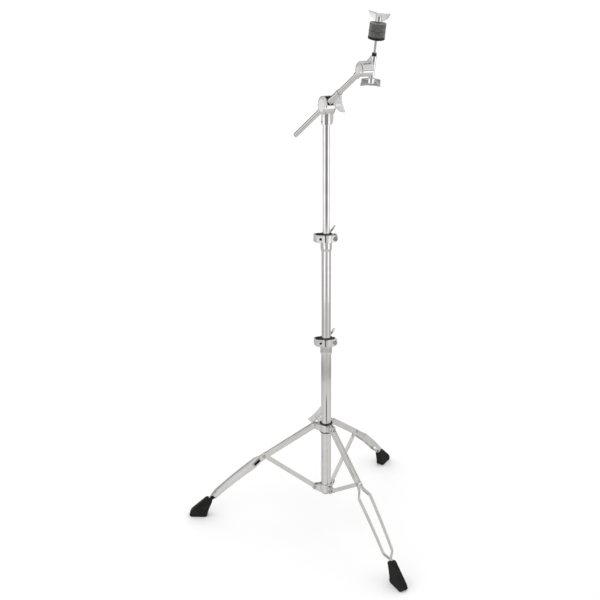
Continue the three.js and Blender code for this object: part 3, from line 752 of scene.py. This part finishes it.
def wing_mesh(
    span, low, high, hub, hub_height, inset=3, thick=4, bolt=0, bolt_r=3, depth=0, turn=0, base=0, flip=False,
):
    """Two rounded wings that thin towards their tips, on a domed hub that stands at base along Z."""
    half, waist = span / 2, high - 3.4
    outline = softened([
        (-hub * 0.7, 0.8), (hub * 0.7, 0.8), (half - inset, low), (half, high - 0.6), (half - 0.6, high),
        (half * 0.5, high - 2.2), (0, waist), (-half * 0.5, high - 2.2), (-half + 0.6, high),
        (-half, high - 0.6), (-half + inset, low),
    ], 1.6, closed=True)
    points, faces = plate([tuple(p) for p in outline], thick / 2 + 0.3)
    points = [Vector((p.x, p.y * (1.05 - 0.1 * abs(p.x) / half), p.z)) for p in points]
    dome = [(0, 0), (hub, 0), (hub, hub_height - 1.5), (hub * 0.72, hub_height), (0, hub_height)]
    solids = [(points, faces), lathe(softened(dome, 1.2))]
    if bolt:
        solids.append(lathe(softened([(0, -bolt), (bolt_r, -bolt), (bolt_r, 1), (0, 1)], 0.8), 40))
    cuts = [pole(ROD_R + GAP, -1, depth, 40)] if depth else []
    mesh = cast(solids, cuts, 0.42, 5)
    if flip:
        mesh.transform(Matrix.Rotation(math.pi, 4, "X"))
    mesh.transform(Matrix.Translation((0, 0, base)) @ Matrix.Rotation(math.radians(turn), 4, "Z"))
    return mesh


def bolt_place(joint):
    """A wing bolt's frame: Z out along the bolt, X towards the floor, as its CAD node has it."""
    outwards = joint_axis(joint)
    origin = joint_at(joint) - MAST
    sideways = UP.cross(outwards).normalized()
    return place(origin, outwards, sideways.cross(outwards))


COLLAR_BOLT_PLACE = bolt_place("collar_wing_turn")

# Mast clamps.

BLOCK_HEIGHT = 21
SIDE_BOLT_X = 24
KEY_SCREW_X = -14.5


def clamp(label, lower_r, upper_r):
    low, high = size_of(f"{label}_clamp_housing")
    sleeve_low, top = low.z, high.z
    block_z = top - BLOCK_HEIGHT
    middle = block_z + BLOCK_HEIGHT / 2
    sleeve = lathe(softened([
        (0, sleeve_low), (lower_r + 1.2, sleeve_low), (lower_r + 2.4, sleeve_low + 7),
        (lower_r + 2.8, block_z + 1), (0, block_z + 1),
    ], 1.2))
    left = prism([(0, -19.2), (-25.5, -15.2), (-34.5, 3), (-24, 12), (0, 14)], block_z, top)
    right = prism([(0, -19.2), (17, -14), (24, -11.4), (24, 9), (12, 12), (0, 14)], block_z, top)
    wing_way = bolt_place(f"{label}_wing_turn")

    def across(shape, x):
        return shifted(along_y(shape), x, 0, middle)

    lobe = across(soft_pole(BLOCK_HEIGHT / 2 - 0.6, -11.4, 9, 1), SIDE_BOLT_X - 3)
    boss = moved(soft_pole(7, 12, 25, 0.8), wing_way)
    cuts = [
        pole(lower_r + GAP, sleeve_low - 1, block_z),
        pole(upper_r + 2.6, block_z - 1, top + 1),
        across(pole(3.4, -14, 6, 32), SIDE_BOLT_X),
        across(pole(5.4, -14, -8, 40), SIDE_BOLT_X),
        across(pole(3.3, -20, -11.5, 32), KEY_SCREW_X),
        block((-3.2, -0.8), (-25, -upper_r), (block_z - 5, top + 1)),
        moved(pole(3.4, 8, 30, 32), wing_way),
    ]
    mesh = cast([sleeve, pole(19.4, block_z, top), left, right, lobe, boss], cuts, 0.45, 7)
    dress(f"{label}_clamp_housing", mesh, MAST_PLACE)

    corners = [
        (upper_r + GAP, block_z + GAP), (upper_r + 2.3, block_z + GAP), (upper_r + 2.3, top + GAP),
        (upper_r + 5, top + GAP), (upper_r + 5, top + 2), (upper_r + GAP, top + 2),
    ]
    shape = lathe(softened(corners, 0.6, closed=True), closed=True)
    dress_turned(f"{label}_clamp_bushing", shape, MAST_PLACE)

    head = across(soft_pole(4.9, -12.6, -8.4, 0.7, 48), SIDE_BOLT_X)
    shank = across(soft_pole(3, -9, 5.6, 0.4, 32), SIDE_BOLT_X)
    recess = across(pole(2.1, -14, -11, 6), SIDE_BOLT_X)
    dress(f"{label}_clamp_side_bolt", cast([head, shank], [recess], 0.3, 4), MAST_PLACE)

    screw = across(soft_pole(2.9, -14.8, -11.9, 0.4, 40), KEY_SCREW_X)
    square = shifted(block((-1.5, 1.5), (-17, -13.4), (-1.5, 1.5)), KEY_SCREW_X, 0, middle)
    dress(f"{label}_clamp_key_screw", cast([screw], [square], 0.2, 3), MAST_PLACE)

    reach = 26 - upper_r - 2.6
    wing = wing_mesh(span=56, low=4, high=24, hub=6, hub_height=12, thick=4.6, bolt=reach, turn=38, base=26)
    dress(f"{label}_clamp_wing_bolt", wing, MAST_PLACE @ wing_way)


# Boom tilter and arm.

DRUM_R = 23.5
DRUM_BORE = 19.4
DRUM_ENDS = (-14.5, 13)
ARM_R = 6.35
SLEEVE_R = 7.9
SLEEVE_END = 80
LOCK_AT = 43
TILT_DOWN = BOOM_TILT + JOINTS["boom_tilt"]["range_deg"][0]
TILT_UP = BOOM_TILT + JOINTS["boom_tilt"]["range_deg"][1]


def tilt_slot(radius, back):
    """The way that a round part needs through the drum's wall, over the whole tilt range."""
    reach, start = 60, 4
    low, high = ((math.cos(math.radians(t)), math.sin(math.radians(t))) for t in (TILT_DOWN, TILT_UP))
    outline = [
        (low[0] * start + low[1] * radius, low[1] * start - low[0] * radius),
        (low[0] * reach + low[1] * radius, low[1] * reach - low[0] * radius),
        (high[0] * reach - high[1] * radius, high[1] * reach + high[0] * radius),
        (high[0] * start - high[1] * radius, high[1] * start + high[0] * radius),
    ]
    slot = turned_to(turned_to(prism(outline, -radius, radius), "X", 90), "Z", -90)
    return turned_to(slot, "X", 180) if back else slot


def drum_housing():
    shell = along_x(lathe(softened([
        (0, DRUM_ENDS[0]), (DRUM_R - 3, DRUM_ENDS[0]), (DRUM_R, DRUM_ENDS[0] + 3), (DRUM_R, DRUM_ENDS[1]),
        (0, DRUM_ENDS[1]),
    ], 1.4), 96))
    funnel_round = lathe(softened([
        (0, -48), (14, -48), (16.6, -45), (18, -39), (19.4, -26), (20, -12), (0, -12),
    ], 2))
    sides = arc((-0.6, 0), 13.2, 60.5, 299.5, 40) + arc((14, 0), 6, -60.5, 60.5, 20)
    funnel_mesh = boolean(mesh_of("funnel", funnel_round), prism(sides, -50, -10), "INTERSECT")
    funnel = ([v.co.copy() for v in funnel_mesh.vertices], [list(p.vertices) for p in funnel_mesh.polygons])
    return cast([shell, funnel], [
        along_x(pole(DRUM_BORE, DRUM_ENDS[0] + 3, 20, 96)),
        pole(TOP_R + GAP, -60, TOP_HIGH.z - joint_at("boom_tilt").z + GAP),
        tilt_slot(SLEEVE_R + 0.6, False),
        tilt_slot(ARM_R + 0.7, True),
        shifted(along_x(pole(2.4, -20, 0, 32)), z=-40),
        along_x(soft_ring(16.8, 19.2, DRUM_ENDS[0] - 1, DRUM_ENDS[0] + 1.3, 0.3, 96)),
    ], 0.45, 5)


def boom_tilter():
    dress("tilter_housing", drum_housing(), DRUM_PLACE)
    face = DRUM_ENDS[1] + GAP
    profile = [
        (4.3, face), (DRUM_R - 0.2, face), (DRUM_R - 0.2, face + 2.4), (20, face + 4.4), (10, face + 4.4),
        (9, face + 8), (4.3, face + 8),
    ]
    cover = along_x(lathe(softened(profile, 1, closed=True), 96, closed=True))
    dress_turned("tilter_cover", cover, DRUM_PLACE)
    grub = shifted(along_x(soft_pole(2, -13.4, -TOP_R - GAP - 0.1, 0.3, 32)), z=-40)
    slot = shifted(block((-15, -12.6), (-3, 3), (-0.5, 0.5)), z=-40)
    dress("tilter_grub_screw", cast([grub], [slot], 0.2, 3), DRUM_PLACE)
    wing = wing_mesh(
        span=44, low=13, high=27, hub=7, hub_height=18, bolt=13, bolt_r=3.9, turn=-28, base=face + 8 + GAP,
    )
    wing.transform(Matrix.Rotation(math.pi / 2, 4, "Y"))
    dress("tilter_wing_bolt", wing, DRUM_PLACE)


def barrel():
    """The chromed sleeve that holds the arm, and the black core that it stands on inside the drum."""
    arm_bore = pole(ARM_R + GAP, -40, 100)
    core = along_x(lathe(softened([
        (0, DRUM_ENDS[0] + 3.4), (DRUM_BORE - GAP, DRUM_ENDS[0] + 3.4), (DRUM_BORE - GAP, DRUM_ENDS[1]),
        (0, DRUM_ENDS[1]),
    ], 0.6), 96))
    core_mesh = cast([core], [arm_bore, pole(SLEEVE_R, 0, 40), along_x(pole(4.2, 8, 30, 40))], 0.45, 5)
    dress("tilter_barrel", core_mesh, ARM_PLACE, "tilter_barrel_core", "nylon")
    sleeve = pole(SLEEVE_R, 0, SLEEVE_END - 6)
    boss = shifted(along_x(soft_pole(5.2, 0, 13.5, 0.8, 48)), z=LOCK_AT)
    screw_hole = shifted(along_x(pole(2.9, 0, 20, 32)), z=LOCK_AT)
    dress("tilter_barrel", cast([sleeve, boss], [arm_bore, screw_hole], 0.45, 7), ARM_PLACE)


def arm():
    barrel()
    ring = soft_ring(ARM_R + GAP, SLEEVE_R + 0.8, SLEEVE_END - 6 + GAP, SLEEVE_END + 2, 0.8)
    dress_turned("arm_sleeve_ring", ring, ARM_PLACE)
    shank = shifted(along_x(soft_pole(2.5, ARM_R + 0.4, 14, 0.3, 32)), z=LOCK_AT)
    head = shifted(along_x(pole(4, 13.8, 17, 4)), z=LOCK_AT)
    dress("arm_lock_screw", cast([shank, head], (), 0.3, 4), ARM_PLACE)
    back, front = ARM_ENDS
    dress_turned("boom_tube", soft_ring(ARM_R - 1.1, ARM_R, back, front, 0.4, 64), ARM_PLACE)
    cap = [
        (0, back - 2.6), (4.6, back - 2.6), (ARM_R, back - 1.6), (ARM_R, back - GAP),
        (ARM_R - 1.5, back - GAP), (ARM_R - 1.5, back + 9), (0, back + 9),
    ]
    dress_turned("boom_end_cap", lathe(softened(cap, 0.6), 64), ARM_PLACE)


def ends_along(node, matrix):
    """Where a node starts and ends along a frame's Z axis, in millimetres."""
    inverse = matrix.inverted()
    heights = [(inverse @ at_mm(v.co)).z for v in frame["nodes"][node].data.vertices]
    return min(heights), max(heights)


ARM_ENDS = ends_along("boom_tube", ARM_PLACE)
ROD_ENDS = ends_along("cymbal_rod", ROD_PLACE)
FELT_ENDS = {node: ends_along(node, ROD_PLACE) for node in ("felt_lower", "felt_upper")}

# Cymbal tilter.

CORE_R = 9.5
SADDLE_R = 20
JAW_R = 15.6
ROD_R = 2.75
FELT_R = 19.5
CUP_RIM = 76
CUP_BORE = 18.4
SPLIT = 1.1
TILT_BACK, TILT_FRONT = JOINTS["cymbal_tilt"]["range_deg"]


def arm_way():
    """The way for the arm through the saddle and the jaw, over the whole tilt range."""
    radius, spare = 8.9, 2
    low, high = math.radians(BOOM_TILT + TILT_FRONT + spare), math.radians(BOOM_TILT + TILT_BACK - spare)
    a, b = (math.cos(low), -math.sin(low)), (math.cos(high), -math.sin(high))
    outline = [
        (0, 0), (a[1] * radius, -a[0] * radius), (a[0] * 40 + a[1] * radius, a[1] * 40 - a[0] * radius),
        (b[0] * 40 - b[1] * radius, b[1] * 40 + b[0] * radius), (-b[1] * radius, b[0] * radius),
    ]
    return turned_to(turned_to(prism(outline, -9.6, 9.6), "X", 90), "Z", 90)


def leaning(shape):
    return shifted(turned_to(shape, "X", math.degrees(ROD_LEAN)), ROD_OFFSET)


def cymbal_hub():
    tilt = 90 - BOOM_TILT
    socket = turned_to(soft_pole(8.2, -34, 0, 0.8), "X", tilt)
    bore = turned_to(pole(ARM_R + GAP, -60, ARM_ENDS[1] - HUB_ALONG_ARM + 0.5), "X", tilt)
    disc = along_x(lathe(softened([(0, -12.6), (13.5, -12.6), (16, -11), (16, -8.8), (0, -8.8)], 0.8)))
    groove = along_x(soft_ring(10, 12, -14, -11.4, 0.3))
    return cast([along_x(soft_pole(CORE_R, -11, 18.5, 0.8)), disc, socket], [bore, groove], 0.4, 6)


def half_shell(radius, pieces, cut_away):
    """One half of the clamp round the hub's core."""
    shell = along_x(lathe(softened([
        (CORE_R + GAP, -8.4), (radius - 1.2, -8.4), (radius, -7.2), (radius, 20), (CORE_R + GAP, 20),
    ], 0.8, closed=True), closed=True))
    rod_way = leaning(pole(ROD_R + GAP, -60, 60, 40))
    core_way = along_x(pole(CORE_R + GAP, -20, 19.2))
    return cast([shell, *pieces], [cut_away, arm_way(), rod_way, core_way], 0.4, 6)


def cymbal_tilter():
    dress("cymbal_hub", cymbal_hub(), HUB_PLACE)
    bridge = block((18, 25), (-5, 5), (-12, 12))
    column = leaning(soft_pole(6.6, -2, 32, 0.8))
    web = turned_to(prism([(8, 10), (22, 10), (23, 30), (17, 24), (10, 18.5)], -4, 4), "X", 90)
    below = block((-30, 60), (-40, 40), (-60, SPLIT))
    dress("cymbal_saddle", half_shell(SADDLE_R, [column, web, bridge], below), HUB_PLACE)
    foot = leaning(soft_pole(6.6, -18.6, 2, 0.8))
    above = block((-30, 60), (-40, 40), (-SPLIT, 60))
    dress("cymbal_jaw", half_shell(JAW_R, [foot, bridge], above), HUB_PLACE)
    rod_parts()


def rod_shape(low, high):
    """A plain rod with a helical thread at its lower end, in the lock nut and at its top."""
    pitch, depth, steps, facets = 1.0, 0.42, 8, 32
    threaded = [(low + 1.2, -15), (27, 44), (high - 14, high - 1.2)]
    rows = int((high - low) / pitch * steps)
    points = []
    for row in range(rows + 1):
        height = low + (high - low) * row / rows
        share = max(min(1, (height - start) / 2, (end - height) / 2) for start, end in threaded)
        end_taper = min(1.0, (height - low + 0.6) / 1.0, (high - height + 0.6) / 1.0)
        for k in range(facets):
            turn = k / facets
            wave = abs(((height / pitch - turn) % 1.0) * 2 - 1)
            radius = (ROD_R - depth * wave * max(0.0, share)) * (0.8 + 0.2 * end_taper)
            angle = 2 * math.pi * turn
            points.append(Vector((radius * math.cos(angle), radius * math.sin(angle), height)))
    return points, skin(rows + 1, facets)


def felt_mesh(node):
    """A felt washer with a soft rounded rim, slightly uneven and fuzzy all over."""
    low, high = FELT_ENDS[node]
    corners = [(4.7, low), (FELT_R, low), (FELT_R, high), (4.7, high)]
    if node == "felt_lower":
        seated, step = CUP_BORE - GAP, CUP_RIM + GAP
        corners[1:2] = [(seated, low), (seated, step), (FELT_R, step)]
    profile = []
    for corner, after in zip(corners, corners[1:] + corners[:1]):
        steps = max(2, round((Vector(after) - Vector(corner)).length / 1.1))
        profile += [Vector(corner).lerp(Vector(after), k / steps) for k in range(steps)]
    mesh = mesh_of(node, lathe(profile, 160, closed=True))
    mesh = worked(mesh, [("SMOOTH", {"factor": 0.5, "iterations": 2})])
    for vertex in mesh.vertices:
        lumps = noise.noise(vertex.co * 0.22) * 0.35 + noise.noise(vertex.co * 1.1) * 0.22
        vertex.co += vertex.normal * (lumps - 0.32)
    return mesh


def rod_parts():
    dress("cymbal_rod", mesh_of("rod", rod_shape(*ROD_ENDS)), ROD_PLACE)
    bore = ROD_R + GAP
    lower = wing_mesh(
        span=48, low=3.4, high=21, inset=1.6, hub=7, hub_height=14, thick=4.4, depth=19.4, turn=-18,
        base=-19.2, flip=True,
    )
    dress("tilter_wing_nut", lower, ROD_PLACE)
    nut_low, nut_high = ends_along("rod_lock_nut", ROD_PLACE)
    hexagon = pole(6.4, nut_low, nut_high, 6)
    dress("rod_lock_nut", bevelled([hexagon], [pole(bore, 30, 45, 32)], 0.6), ROD_PLACE)
    felt_bottom = FELT_ENDS["felt_lower"][0]
    plate_top = felt_bottom - 2.9
    cup = [
        (bore, plate_top + 0.05), (16.8, plate_top + 0.05), (FELT_R, felt_bottom - 1.8), (FELT_R, CUP_RIM),
        (CUP_BORE, CUP_RIM), (CUP_BORE, felt_bottom - GAP), (bore, felt_bottom - GAP),
    ]
    dress_turned("cup_washer", lathe(softened(cup, 0.6, closed=True), closed=True), ROD_PLACE)
    under = mesh_of("plate", soft_ring(bore, 16, felt_bottom - 3.4, plate_top, 0.2))
    weighted(dress("cup_washer", under, ROD_PLACE, "cup_washer_plate", "chrome"))
    sleeve_ends = ends_along("felt_sleeve", ROD_PLACE)
    dress_turned("felt_sleeve", soft_ring(bore, 4.4, *sleeve_ends, 0.3, 48), ROD_PLACE)
    for node in FELT_ENDS:
        dress(node, felt_mesh(node), ROD_PLACE)
    top = FELT_ENDS["felt_upper"][1] + 2
    upper = wing_mesh(
        span=53, low=9, high=22.4, inset=5.3, hub=6.8, hub_height=15.5, thick=3.6, depth=10.6, turn=-48,
        base=top,
    )
    dress("cymbal_wing_nut", upper, ROD_PLACE)


# ---- studio ---------------------------------------------------------------------------------------

CAMERA_BACK = 2.26841  # metres in front of the mast
CAMERA_HEIGHT = 1.45214
CAMERA_TURN = -0.0314  # radians: to the left, downwards and rolled
CAMERA_DROP = 0.3292
CAMERA_ROLL = -0.0092
FOCAL = 881.28 / 600  # in picture widths
SENSOR = 36


def camera():
    forward = Vector((
        math.sin(CAMERA_TURN) * math.cos(CAMERA_DROP), math.cos(CAMERA_TURN) * math.cos(CAMERA_DROP),
        -math.sin(CAMERA_DROP),
    ))
    level = Vector((math.cos(CAMERA_TURN), -math.sin(CAMERA_TURN), 0))
    lifted = level.cross(forward)
    right = level * math.cos(CAMERA_ROLL) + lifted * math.sin(CAMERA_ROLL)
    up = lifted * math.cos(CAMERA_ROLL) - level * math.sin(CAMERA_ROLL)
    data = bpy.data.cameras.new("camera")
    data.sensor_width = SENSOR
    data.lens = SENSOR * FOCAL
    eye = new_object("camera", data)
    matrix = Matrix((right, up, -forward)).transposed().to_4x4()
    matrix.translation = (MAST.x * MM, MAST.y * MM - CAMERA_BACK, CAMERA_HEIGHT)
    eye.matrix_world = matrix
    bpy.context.scene.camera = eye


def glowing(name):
    """A material without nodes, its node tree, and a function that makes its surface glow."""
    material = bpy.data.materials.new(name)
    material.use_nodes = True
    tree = material.node_tree
    tree.nodes.clear()

    def glow(inputs):
        light = add_node(tree, "Emission", "Emission", inputs)
        tree.links.new(light, tree.nodes.new("ShaderNodeOutputMaterial").inputs["Surface"])

    return material, tree, glow


def glow_material(name, strength):
    material, _, glow = glowing(name)
    glow({"Color": (1, 0.985, 0.965, 1), "Strength": strength})
    return material


ROOM_RADIUS = 1.6  # the room that only reflections see
ROOM_BOTTOM = -2.4
ROOM_TOP = 3.0
ROOM_TURN = math.radians(8)  # its dark front panel stands a little to the right


def ramp(tree, source, stops):
    """A smooth brightness over a half turn, given as (degrees, brightness) stops."""
    node = tree.nodes.new("ShaderNodeValToRGB")
    node.color_ramp.interpolation = "EASE"
    elements = node.color_ramp.elements
    while len(elements) < len(stops):
        elements.new(0.5)
    for element, (degrees, level) in zip(elements, stops):
        element.position = degrees / 180
        element.color = (level, level * 0.985, level * (0.94 if level < 0.8 else 0.985), 1)
    tree.links.new(source, node.inputs["Fac"])
    return node.outputs["Color"]


def room_wall_material():
    """Brightness by direction from the mast's front, in bands of height: softboxes, flags and grey wall."""
    material, tree, glow = glowing("room_wall")
    split = tree.nodes.new("ShaderNodeSeparateXYZ")
    tree.links.new(add_node(tree, "TexCoord", "Object"), split.inputs["Vector"])

    def math_node(operation, *values):
        return add_node(tree, "Math", "Value", enumerate(values), operation=operation)

    backwards = math_node("MULTIPLY", split.outputs["Y"], -1.0)
    turn = math_node("ABSOLUTE", math_node("ARCTAN2", split.outputs["X"], backwards))
    share = math_node("DIVIDE", turn, math.pi)  # 0 in front of the object, 1 behind it
    bands = [ramp(tree, share, stops) for stops in WALL_BANDS]
    light = bands[0]
    for height, band in zip(BAND_HEIGHTS, bands[1:]):
        edge = {"From Min": height - BAND_BLUR, "From Max": height + BAND_BLUR, "Value": split.outputs["Z"]}
        step = add_node(tree, "MapRange", "Result", edge)
        light = add_node(tree, "Mix", "Result", {"Factor": step, "A": light, "B": band}, data_type="RGBA")
    glow({"Color": light})
    return material


BAND_BLUR = 0.012
BAND_HEIGHTS = (-0.262, -0.158, -0.06, 0.13, 0.40, 0.47, 0.98, 1.10, 1.32, 1.75)  # metres above the floor
WALL_BANDS = (
    ((0, 0.70), (22, 0.74), (38, 0.80), (60, 0.72), (85, 0.66), (180, 0.62)),
    ((0, 0.50), (30, 0.52), (60, 0.50), (85, 0.40), (180, 0.50)),
    ((0, 0.66), (30, 0.68), (50, 0.76), (85, 0.60), (180, 0.66)),
    ((0, 0.50), (22, 0.52), (36, 0.90), (54, 0.84), (68, 0.52), (92, 0.48), (180, 0.54)),
    ((0, 0.45), (24, 0.46), (34, 1.40), (56, 1.35), (68, 0.56), (92, 0.50), (180, 0.54)),
    ((0, 0.70), (18, 1.00), (60, 0.90), (92, 0.55), (180, 0.56)),
    ((0, 0.26), (34, 0.30), (46, 1.40), (84, 1.25), (99, 0.62), (118, 0.66), (132, 0.92),
     (160, 0.60), (180, 0.50)),
    ((0, 0.26), (38, 0.34), (54, 0.90), (85, 0.74), (105, 0.70), (138, 0.92), (154, 0.03), (180, 0.03)),
    ((0, 0.74), (26, 0.62), (44, 0.84), (60, 0.95), (85, 0.72), (115, 0.66), (138, 0.88),
     (154, 0.03), (180, 0.03)),
    ((0, 0.84), (30, 0.74), (60, 0.90), (90, 0.75), (120, 0.60), (140, 0.60), (154, 0.03), (180, 0.03)),
    ((0, 0.68), (60, 0.80), (120, 0.62), (180, 0.45)),
)


def room(name, mesh, material, turn=0.0):
    """A surface of the room that only shows in reflections."""
    mesh.materials.append(material)
    thing = new_object(name, mesh)
    thing.location = MAST * MM
    thing.rotation_euler.z = turn
    for rays in ("camera", "diffuse", "transmission", "shadow"):
        setattr(thing, "visible_" + rays, False)


def knee_card():
    """A small black card in front of the left knee, which the bend of its front strip reflects."""
    across, half_width, half_height = Vector((0.77, 0.64, 0)), 0.052, 0.046
    centre = Vector((0.043, -0.303, 0.21))
    corners = ((-1, -1), (1, -1), (1, 1), (-1, 1))
    points = [centre + across * half_width * x + UP * half_height * z for x, z in corners]
    card = bpy.data.meshes.new("knee_card")
    card.from_pydata(points, [], [(0, 1, 2, 3)])
    room("knee_card", card, glow_material("black_card", 0.0))


def reflection_room():
    steps = 128
    rim = [
        (ROOM_RADIUS * math.cos(2 * math.pi * k / steps), ROOM_RADIUS * math.sin(2 * math.pi * k / steps))
        for k in range(steps)
    ]
    wall = bpy.data.meshes.new("room_wall")
    points = [(x, y, z) for z in (ROOM_BOTTOM, ROOM_TOP) for x, y in rim]
    nexts = [(k + 1) % steps for k in range(steps)]
    wall.from_pydata(points, [], [(k, n, steps + n, steps + k) for k, n in enumerate(nexts)])
    room("room_wall", wall, room_wall_material(), ROOM_TURN)
    for name, height, level in (("room_floor", ROOM_BOTTOM, 0.42), ("room_ceiling", ROOM_TOP, 0.76)):
        cap = bpy.data.meshes.new(name)
        cap.from_pydata([(x, y, height) for x, y in rim], [], [tuple(range(steps))])
        room(name, cap, glow_material(name, level))
    knee_card()


def studio():
    mesh = bpy.data.meshes.new("floor")
    far = 60
    mesh.from_pydata([(-far, -far, 0), (far, -far, 0), (far, far, 0), (-far, far, 0)], [], [(0, 1, 2, 3)])
    mesh.materials.append(Paint("floor", (0.93, 0.93, 0.93), 0.9).material)
    floor = new_object("floor", mesh)
    floor.visible_glossy = False

    world = bpy.data.worlds.new("studio")
    world.use_nodes = True
    background = world.node_tree.nodes["Background"]
    background.inputs["Color"].default_value = (1, 1, 1, 1)
    background.inputs["Strength"].default_value = 1.12
    bpy.context.scene.world = world
    reflection_room()
    bpy.context.scene.view_settings.view_transform = "Standard"


# ---- assembly -------------------------------------------------------------------------------------

camera()
tubes()
for leg_index in (1, 2, 3):
    leg(leg_index)
collars()
clamp("lower", BASE_R, MID_R)
clamp("upper", MID_R, TOP_R)
boom_tilter()
arm()
cymbal_tilter()
studio()
